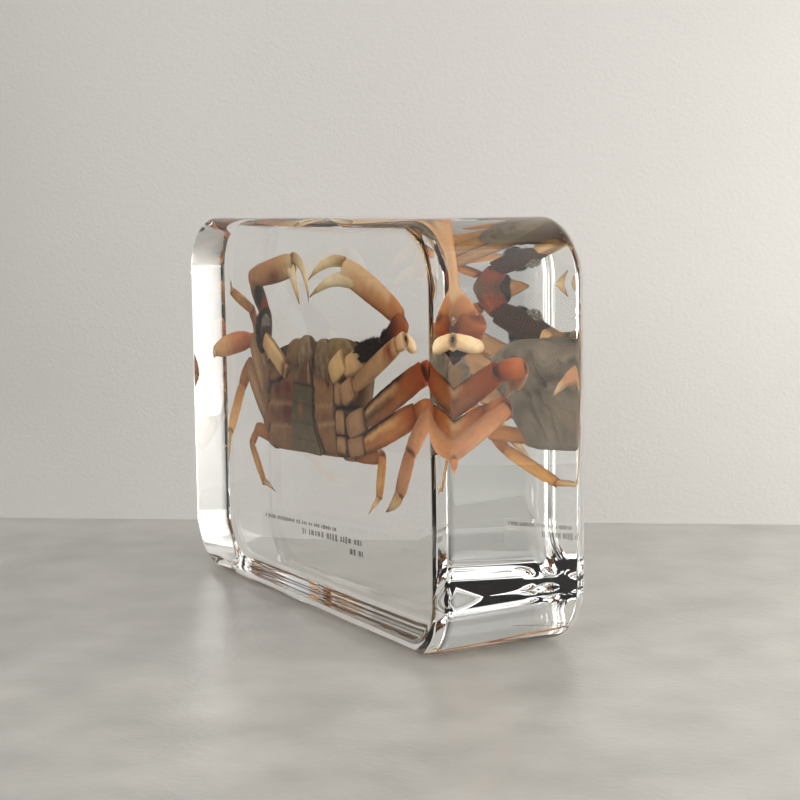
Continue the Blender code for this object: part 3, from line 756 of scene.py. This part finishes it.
limb("right_claw", claw_shell, (
    ("coxa", (-8.4, -5.1, 35.7), (-18.0, -3.2, 40.2), 3.1, 2.8, 0.0, "cream block"),
    ("merus", None, (-21.9, 2.1, 44.1), 3.8, 3.6, 0.0, "fur dark"),
    ("carpus", None, (-26.9, 2.8, 49.1), 3.6, 3.6, 0.0, "wrist red"),
    ("palm", (-28.5, 2.8, 49.7), (-9.4, 0.0, 52.6), 4.2, 3.2, 0.0, "right palm"),
    ("fixed", (-11.6, 0.2, 53.2), (-6.2, -1.9, 46.8), 2.3, 1.6, 0.2, "finger"),
    ("finger", (-10.0, 0.0, 53.8), (-2.9, -1.9, 47.2), 1.9, 1.6, 1.8, "finger brown"),
), (
    ((-21.6, -0.9, 41.3), (1.9, 1.5, 3.2), (0.06, 0.0, 1.0), 900, 0.5, FUR_GREY, 5),
    ((-19.2, -1.8, 41.5), (1.3, 1.2, 2.6), (0.10, 0.0, 1.0), 900, 0.5, FUR_PALE, 7),
    ((-23.8, 0.8, 46.8), (1.0, 1.0, 1.7), (-0.4, 0.0, 0.9), 350, 0.4, FUR_GREY, 6),
))

# The left legs, folded over the block's right side: orange-brown, striped on the thighs. Square
# basal plates fit them to the body.
limb("left_leg_1", leg_shell, (
    ("plate", (9.3, -4.7, 32.3), (9.5, -4.7, 35.6), 2.2, 2.0, 0.0, "coxa pale"),
    ("coxa", (11.0, -5.3, 33.6), (14.8, -5.1, 35.5), 3.5, 2.6, 0.0, "coxa pale"),
    ("merus", None, (28.0, -4.6, 42.3), 3.0, 2.2, 0.0, "merus peach"),
    ("carpus", None, (30.2, -4.2, 43.2), 2.6, 2.3, 0.0, "wrist peach"),
    ("propodus", None, (29.0, 0.4, 42.0), 2.5, 2.0, 0.0, "cream end"),
))
limb("left_leg_2", leg_shell, (
    ("plate", (10.1, -4.5, 28.0), (9.8, -4.5, 31.4), 2.9, 2.2, 0.0, "coxa pale"),
    ("coxa", (12.2, -4.2, 29.2), (17.4, -3.9, 30.9), 3.8, 3.0, 0.0, "coxa pale"),
    ("merus", None, (30.0, 2.6, 38.4), 4.1, 2.8, 0.0, "merus striped"),
    ("carpus", None, (30.6, 6.4, 38.9), 3.8, 3.2, 0.0, "knee red"),
    ("propodus", None, (23.6, 7.9, 36.2), 2.8, 2.2, 0.0, "shin orange"),
    ("tip", None, (18.0, 8.2, 33.6), 1.7, 1.4, 0.3, "tip pale"),
))
limb("left_leg_3", leg_shell, (
    ("plate", (10.1, -4.2, 25.0), (10.1, -4.2, 27.5), 3.0, 2.2, 0.0, "coxa pale"),
    ("coxa", (12.1, -3.8, 26.1), (16.6, -3.2, 27.1), 3.1, 2.6, 0.0, "coxa pale"),
    ("merus", None, (28.4, 1.8, 32.5), 3.9, 2.6, 0.0, "merus banded"),
    ("carpus", None, (31.6, 3.4, 33.4), 3.4, 3.0, 0.0, "knee brown"),
    ("shank", None, (32.2, -5.4, 27.6), 3.2, 2.8, 0.0, "shank"),
    ("shank", None, (30.0, -6.8, 21.8), 3.0, 2.4, 0.0, "shank"),
    ("tip", None, (26.4, -7.4, 18.8), 2.4, 1.9, -0.3, "tip pale"),
))
limb("left_leg_4", leg_shell, (
    ("coxa", (8.4, -0.9, 24.6), (12.2, -1.0, 24.8), 1.8, 1.8, 0.0, "coxa pale"),
    ("merus", None, (20.2, -1.9, 25.5), 2.1, 1.9, 0.0, "slim"),
    ("carpus", None, (23.3, -4.6, 26.0), 1.9, 1.8, 0.2, "slim"),
    ("propodus", None, (23.5, -6.6, 20.3), 2.3, 1.6, 0.0, "slim pale"),
    ("tip", None, (21.4, -8.1, 17.8), 1.2, 1.0, 0.0, "tip pale"),
))

# The right legs, spread behind the body as far as the block's other end: the same shell, plainer
# and more orange towards its pointed tips.
limb("right_leg_1", leg_shell, (
    ("coxa", (-15.6, -3.6, 34.1), (-18.7, -1.9, 35.3), 2.8, 2.6, 0.0, "coxa far"),
    ("merus", None, (-29.4, 6.3, 42.0), 2.7, 2.2, 0.0, "far merus"),
    ("carpus", None, (-28.3, 2.8, 44.7), 2.2, 2.0, 0.0, "slim"),
    ("propodus", None, (-30.5, -4.8, 47.7), 2.0, 1.8, 0.0, "slim pale"),
    ("tip", None, (-28.7, -7.6, 49.5), 0.9, 0.9, 0.0, "tip pale"),
))
limb("right_leg_2", leg_shell, (
    ("coxa", (-16.0, -3.4, 30.2), (-19.5, -1.7, 31.4), 3.4, 3.0, 0.0, "coxa far"),
    ("merus", None, (-31.7, 7.8, 39.4), 3.8, 2.8, 0.0, "far merus"),
    ("leaf", None, (-38.6, -4.8, 37.2), 3.6, 2.6, 0.3, "far red"),
    ("tip", None, (-35.9, -8.7, 36.4), 1.5, 1.5, 0.0, "tip pale"),
))
limb("right_leg_3", leg_shell, (
    ("coxa", (-16.2, -3.2, 26.4), (-19.5, -1.5, 27.6), 3.0, 2.8, 0.0, "coxa far"),
    ("merus", None, (-32.9, 6.8, 35.1), 3.6, 2.6, 0.0, "far merus"),
    ("carpus", None, (-35.1, 5.7, 31.4), 2.8, 2.6, 0.0, "slim"),
    ("propodus", None, (-33.5, -3.4, 24.0), 3.0, 2.2, 0.0, "far shin"),
    ("tip", None, (-32.4, -6.5, 18.9), 1.3, 1.2, 0.0, "tip pale"),
))
limb("right_leg_4", leg_shell, (
    ("coxa", (-14.8, -2.3, 24.0), (-18.3, -1.1, 24.4), 2.4, 2.2, 0.0, "coxa far"),
    ("merus", None, (-26.1, 1.7, 24.9), 2.4, 2.2, 0.3, "slim"),
    ("carpus", None, (-27.0, -0.4, 22.4), 1.8, 1.7, 0.0, "slim"),
    ("propodus", None, (-18.8, -4.8, 17.2), 2.0, 1.6, 0.0, "slim pale"),
    ("tip", None, (-12.6, -7.4, 16.5), 1.1, 1.0, 0.2, "tip pale"),
))


# The label slip: a strip of clear film, printed by a machine and laid on the first pour of resin,
# which all but hides it. Only its three rows of plain marks show.
LABEL_SIZE = Vector((38, 0.25, 4.6)) * MM
LABEL_CENTRE = Vector((-5.2, 1.0, 10.6)) * MM
LABEL_TILT = Matrix.Rotation(math.radians(-3), 4, "Y")
# Rows of marks: height on the slip, where the row starts and ends, and how tall, in mm
LABEL_ROWS = ((1.4, -17.6, 8.6, 0.62), (0.1, -3.4, 17.8, 1.0), (-1.5, 13.2, 17.8, 0.85))
MARK_THICK = 0.03 * MM
# Shares of a row's height: how wide and tall its marks are, and the gaps between them
MARK_WIDTHS = (0.4, 1.1)
MARK_HEIGHTS = (0.7, 1.1)
MARK_GAPS = (0.3, 0.35, 0.4, 1.1)
# The resin has nearly the film's refractive index, so the film hardly bends light
FILM_IOR = 1.01
HAZE_SCALE = 260.0
FILM_WHITE = "#F4F3F0"
PRINT_BROWN = "#4E3F3C"


def film_material(name, colour, alpha, roughness):
    """Clear polyester film with a faint haze, or the thin ink printed on it."""
    material, tree, shader = new_material(name)
    place = add_node(tree, "ShaderNodeTexCoord").outputs["Object"]
    haze = add_node(tree, "ShaderNodeTexNoise", {"Scale": HAZE_SCALE, "Detail": 3.0}, Vector=place)
    thin = add_node(tree, "ShaderNodeMapRange", {"To Min": alpha * 0.5, "To Max": alpha * 1.5},
                    Value=haze.outputs["Fac"])
    tree.links.new(thin.outputs["Result"], shader.inputs["Alpha"])
    shader.inputs["Base Color"].default_value = linear(colour)
    shader.inputs["Roughness"].default_value = roughness
    shader.inputs["IOR"].default_value = FILM_IOR
    return material


def slip(bm, size, centre):
    """One thin plate on the slip, tilted with it."""
    made = bmesh.ops.create_cube(bm, size=1.0)
    bmesh.ops.scale(bm, vec=size, verts=made["verts"])
    bmesh.ops.translate(bm, vec=centre, verts=made["verts"])
    bmesh.ops.transform(bm, matrix=Matrix.Translation(LABEL_CENTRE) @ LABEL_TILT,
                        verts=made["verts"])


bm = bmesh.new()
slip(bm, LABEL_SIZE, (0, 0, 0))
clear_film = film_material("clear polyester film", FILM_WHITE, alpha=0.07, roughness=0.4)
film = new_piece("label_film", bm, clear_film)
film.data.set_sharp_from_angle(angle=SHARP_ANGLE)
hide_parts("label_slip")

bm = bmesh.new()
draw = random.Random(11)
for height, start, end, row_tall in LABEL_ROWS:
    reach = start
    while reach < end:
        long = row_tall * draw.uniform(*MARK_WIDTHS)
        tall = row_tall * draw.uniform(*MARK_HEIGHTS)
        slip(bm, (long * MM, MARK_THICK, tall * MM),
             ((reach + long / 2) * MM, -LABEL_SIZE.y / 2 - MARK_THICK, height * MM))
        reach += long + row_tall * draw.choice(MARK_GAPS)
ink = film_material("thin brown printing ink", PRINT_BROWN, alpha=0.42, roughness=0.6)
new_piece("label_marks", bm, ink)


# The surface it stands on and the wall behind: honed plaster stone, pale grey and a little cloudy,
# and off-white wall paper. Both are plain and matt, and are the stage, not the object. The stone
# carries a painted pool of light round the block.
FLOOR_SIZE = 3.0
FLOOR_GAP = 0.05 * MM
UP = Vector((0, 0, 1))
WALL_POINT = Vector((-0.0625, 0.035, 0))
WALL_ALONG = Vector((0.5805, 0.8142, 0))
# In metres: where the paper fades out, along the wall, and where the stone darkens in a painted
# pool of light, away from the block's middle. Beyond that, POOL_EDGE of the stone's tone is left.
WALL_FADE = (-0.20, -0.08)
POOL = (0.16, 0.38)
POOL_EDGE = 0.3
FLOOR_COLOUR = "#A2A09B"
WALL_COLOUR = "#C0BEBB"


def matt_material(name, colour, grain, strength, patch, roughness):
    """A matt mineral surface: a little cloudy in tone, with a fine grain."""
    material, tree, shader = new_material(name)
    place = add_node(tree, "ShaderNodeTexCoord").outputs["Object"]
    cloud = add_node(tree, "ShaderNodeTexNoise", {"Scale": patch, "Detail": 6.0}, Vector=place)
    shade = add_node(tree, "ShaderNodeMapRange",
                     {"From Min": 0.3, "From Max": 0.7, "To Min": 1 - strength,
                      "To Max": 1 + strength}, Value=cloud.outputs["Fac"])
    tone = add_node(tree, "ShaderNodeVectorMath", {"operation": "SCALE"})
    tone.inputs[0].default_value = linear(colour)[:3]
    tree.links.new(shade.outputs["Result"], tone.inputs["Scale"])
    tree.links.new(tone.outputs["Vector"], shader.inputs["Base Color"])
    fine = add_node(tree, "ShaderNodeTexNoise", {"Scale": grain, "Detail": 4.0}, Vector=place)
    bump = add_node(tree, "ShaderNodeBump", {"Strength": 0.15, "Distance": 0.4 * MM},
                    Height=fine.outputs["Fac"])
    tree.links.new(bump.outputs["Normal"], shader.inputs["Normal"])
    shader.inputs["Roughness"].default_value = roughness
    return material


def one_sided(material):
    """Open the set from behind: the paper only shows from the block's side of it, and fades out
    beyond the picture's left edge, where the block's broad face would mirror it."""
    tree = material.node_tree
    clear = add_node(tree, "ShaderNodeBsdfTransparent").outputs["BSDF"]
    behind = add_node(tree, "ShaderNodeNewGeometry").outputs["Backfacing"]
    place = add_node(tree, "ShaderNodeTexCoord").outputs["Object"]
    across = add_node(tree, "ShaderNodeSeparateXYZ", Vector=place).outputs["X"]
    fade = add_node(tree, "ShaderNodeMapRange",
                    {"interpolation_type": "SMOOTHSTEP", "From Min": WALL_FADE[0],
                     "From Max": WALL_FADE[1], "To Min": 1.0, "To Max": 0.0},
                    Value=across).outputs["Result"]
    either = add_node(tree, "ShaderNodeMath", {"operation": "MAXIMUM"})
    tree.links.new(behind, either.inputs[0])
    tree.links.new(fade, either.inputs[1])
    mix = add_node(tree, "ShaderNodeMixShader", Fac=either.outputs["Value"])
    tree.links.new(tree.nodes["Principled BSDF"].outputs["BSDF"], mix.inputs[1])
    tree.links.new(clear, mix.inputs[2])
    tree.links.new(mix.outputs["Shader"], tree.nodes["Material Output"].inputs["Surface"])


def light_pool(material):
    """Painted light: the stone darkens away from the block, as outside the pool of a soft lamp's
    light.
    """
    tree = material.node_tree
    colour = tree.nodes["Principled BSDF"].inputs["Base Color"]
    place = add_node(tree, "ShaderNodeTexCoord").outputs["Object"]
    away = add_node(tree, "ShaderNodeVectorMath", {"operation": "LENGTH"})
    tree.links.new(place, away.inputs[0])
    fade = add_node(tree, "ShaderNodeMapRange",
                    {"interpolation_type": "SMOOTHSTEP", "From Min": POOL[0], "From Max": POOL[1],
                     "To Min": 1.0, "To Max": POOL_EDGE}, Value=away.outputs["Value"])
    tone = add_node(tree, "ShaderNodeVectorMath", {"operation": "SCALE"},
                    Scale=fade.outputs["Result"])
    tree.links.new(colour.links[0].from_socket, tone.inputs[0])
    tree.links.new(tone.outputs["Vector"], colour)


def stage_sheet(name, matrix, material):
    """A flat sheet of the stage, which isn't part of the object."""
    bm = bmesh.new()
    bmesh.ops.create_grid(bm, x_segments=1, y_segments=1, size=FLOOR_SIZE / 2, matrix=matrix)
    mesh = bpy.data.meshes.new(name)
    bm.to_mesh(mesh)
    bm.free()
    mesh.materials.append(material)
    sheet = bpy.data.objects.new(name, mesh)
    bpy.context.scene.collection.objects.link(sheet)


stone = matt_material("plaster stone, honed", FLOOR_COLOUR, grain=900, strength=0.14, patch=80,
                      roughness=0.32)
light_pool(stone)
stage_sheet("floor", Matrix.Translation((0, 0, -FLOOR_GAP)), stone)
paper = matt_material("wall paper, matt", WALL_COLOUR, grain=1500, strength=0.03, patch=8,
                      roughness=0.9)
one_sided(paper)
wall_matrix = Matrix((WALL_ALONG, UP, WALL_ALONG.cross(UP))).transposed().to_4x4()
wall_matrix.translation = WALL_POINT + UP * FLOOR_SIZE / 2
stage_sheet("wall", wall_matrix, paper)


# Soft studio light: a broad dim lamp overhead, a low key lamp and a window lamp on the viewer's
# right, and a lamp before the block's broad face. The room round them is bright on the right, with
# a pale ceiling and front. The camera has the place and the lens that the block's edges give.
CAMERA_PLACE = Vector((262.552, -130.332, 63.001)) * MM
CAMERA_RIGHT = Vector((0.4617351, 0.88688402, -0.01540909))
CAMERA_UP = Vector((-0.08773411, 0.0629495, 0.99415295))
CAMERA_LENS = 85.044
CAMERA_SENSOR = 36
CAMERA_NEAR = 0.01
# Each lamp's place and aim, its size in metres, its power in watts and its colour
LAMPS = {
    "overhead": ((0.10, -0.10, 0.80), (0, 0, 0), (0.8, 0.8), 0.7, "#FFFDFA"),
    "key": ((0.20, 0.25, 0.065), (-0.02, 0.08, 0.0), (0.12, 0.08), 0.95, "#FFFCF6"),
    "front": ((0.16, -0.48, 0.36), (0, 0, 0.03), (0.45, 0.45), 1.4, "#FFFEFC"),
    "window": ((0.190, 0.112, 0.155), (0, 0, 0.155), (0.24, 0.31), 0.26, "#FFFDF8"),
}
SURROUND_COLOUR = "#FBFAF8"
# The room's light: a direction, the cosines between which it grows, and its least and most
SURROUND = (((0.88, 0.46, 0.10), -0.35, 0.80, 0.10, 0.75), ((0, 0, 1), 0.30, 0.95, 0.0, 0.7),
            ((0.1, -1.0, 0.0), 0.65, 0.98, 0.0, 0.5))


def lamp(name, place, aim, size, power, colour):
    """A soft rectangular lamp, turned to shine on its aim."""
    light = bpy.data.lights.new(name, "AREA")
    light.shape = "RECTANGLE"
    light.size, light.size_y = size
    light.energy = power
    light.color = linear(colour)[:3]
    thing = bpy.data.objects.new(name, light)
    bpy.context.scene.collection.objects.link(thing)
    thing.location = place
    thing.rotation_euler = (Vector(aim) - Vector(place)).to_track_quat("-Z", "Y").to_euler()


def surround_light():
    """The room round the set: a bright side, a pale ceiling and front, and dim elsewhere."""
    world = bpy.data.worlds.new("surround")
    bpy.context.scene.world = world
    world.use_nodes = True
    tree = world.node_tree
    direction = add_node(tree, "ShaderNodeTexCoord").outputs["Generated"]
    background = tree.nodes["Background"]
    background.inputs["Color"].default_value = linear(SURROUND_COLOUR)
    total = background.inputs["Strength"]
    for aim, low, high, least, most in SURROUND:
        facing = add_node(tree, "ShaderNodeVectorMath", {"operation": "DOT_PRODUCT"})
        facing.inputs[1].default_value = Vector(aim).normalized()
        tree.links.new(direction, facing.inputs[0])
        glow = add_node(tree, "ShaderNodeMapRange",
                        {"interpolation_type": "SMOOTHSTEP", "From Min": low, "From Max": high,
                         "To Min": least, "To Max": most}, Value=facing.outputs["Value"])
        both = add_node(tree, "ShaderNodeMath", {"operation": "ADD"})
        both.inputs[1].default_value = 0.0
        tree.links.new(glow.outputs["Result"], both.inputs[0])
        tree.links.new(both.outputs["Value"], total)
        total = both.inputs[1]


surround_light()
for name, row in LAMPS.items():
    lamp(name, *row)

bpy.context.scene.view_settings.view_transform = "Standard"
camera = bpy.data.objects.new("camera", bpy.data.cameras.new("camera"))
bpy.context.scene.collection.objects.link(camera)
camera.data.sensor_width = CAMERA_SENSOR
camera.data.lens = CAMERA_LENS
camera.data.clip_start = CAMERA_NEAR
backward = CAMERA_RIGHT.cross(CAMERA_UP)
turn = Matrix((CAMERA_RIGHT, CAMERA_UP, backward)).transposed().to_4x4()
camera.matrix_world = Matrix.Translation(CAMERA_PLACE) @ turn
bpy.context.scene.camera = camera
